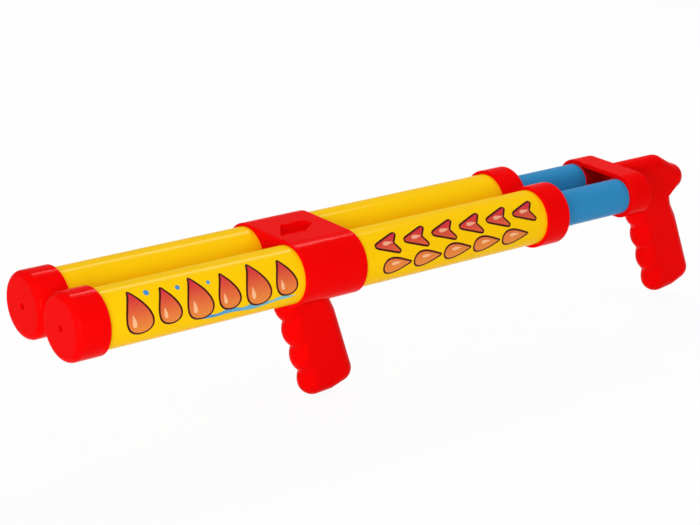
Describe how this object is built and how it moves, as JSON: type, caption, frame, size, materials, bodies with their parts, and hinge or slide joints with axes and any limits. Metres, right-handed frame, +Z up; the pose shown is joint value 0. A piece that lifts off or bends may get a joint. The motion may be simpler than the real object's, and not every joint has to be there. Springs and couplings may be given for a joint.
{
  "type": "water squirter",
  "caption": "Twin-tube pump water squirter: parallel barrels with nozzle caps, a saddle with a pistol grip, and a sliding yoke and handle that drives the pistons.",
  "frame": {"origin": "under the middle of the squirter's length and width, level with the lowest point of its grips", "axes": "+X along the barrels from the nozzles to the pump handle, +Y to the squirter's right seen from the handle looking at the nozzles, +Z up, away from the grips"},
  "size_m": [0.5914, 0.0914, 0.1265],
  "materials": {
    "yellow_plastic": "glossy extruded tube",
    "red_plastic": "glossy moulded",
    "blue_plastic": "satin extruded tube",
    "white_plastic": "natural moulded",
    "seal_rubber": "greased",
    "steel": "zinc plated"
  },
  "bodies": {
    "barrels": {"left_barrel": "yellow_plastic", "right_barrel": "yellow_plastic", "left_nozzle_cap": "red_plastic", "right_nozzle_cap": "red_plastic", "left_rear_collar": "red_plastic", "right_rear_collar": "red_plastic", "saddle": "red_plastic", "saddle_bolt": "steel", "saddle_nut": "steel", "front_grip_left": "red_plastic", "front_grip_right": "red_plastic", "front_grip_screws": "steel"},
    "pump": {"left_pump_rod": "blue_plastic", "right_pump_rod": "blue_plastic", "left_piston": "white_plastic", "right_piston": "white_plastic", "left_piston_seal": "seal_rubber", "right_piston_seal": "seal_rubber", "yoke": "red_plastic", "rod_screws": "steel", "yoke_screws": "steel", "rear_grip_left": "red_plastic", "rear_grip_right": "red_plastic", "rear_grip_screws": "steel"}
  },
  "joints": [
    {"name": "pump_slide", "type": "slide", "parent": "barrels", "child": "pump", "axis": [1, 0, 0], "range_m": [-0.0425, 0.3415]}
  ]
}
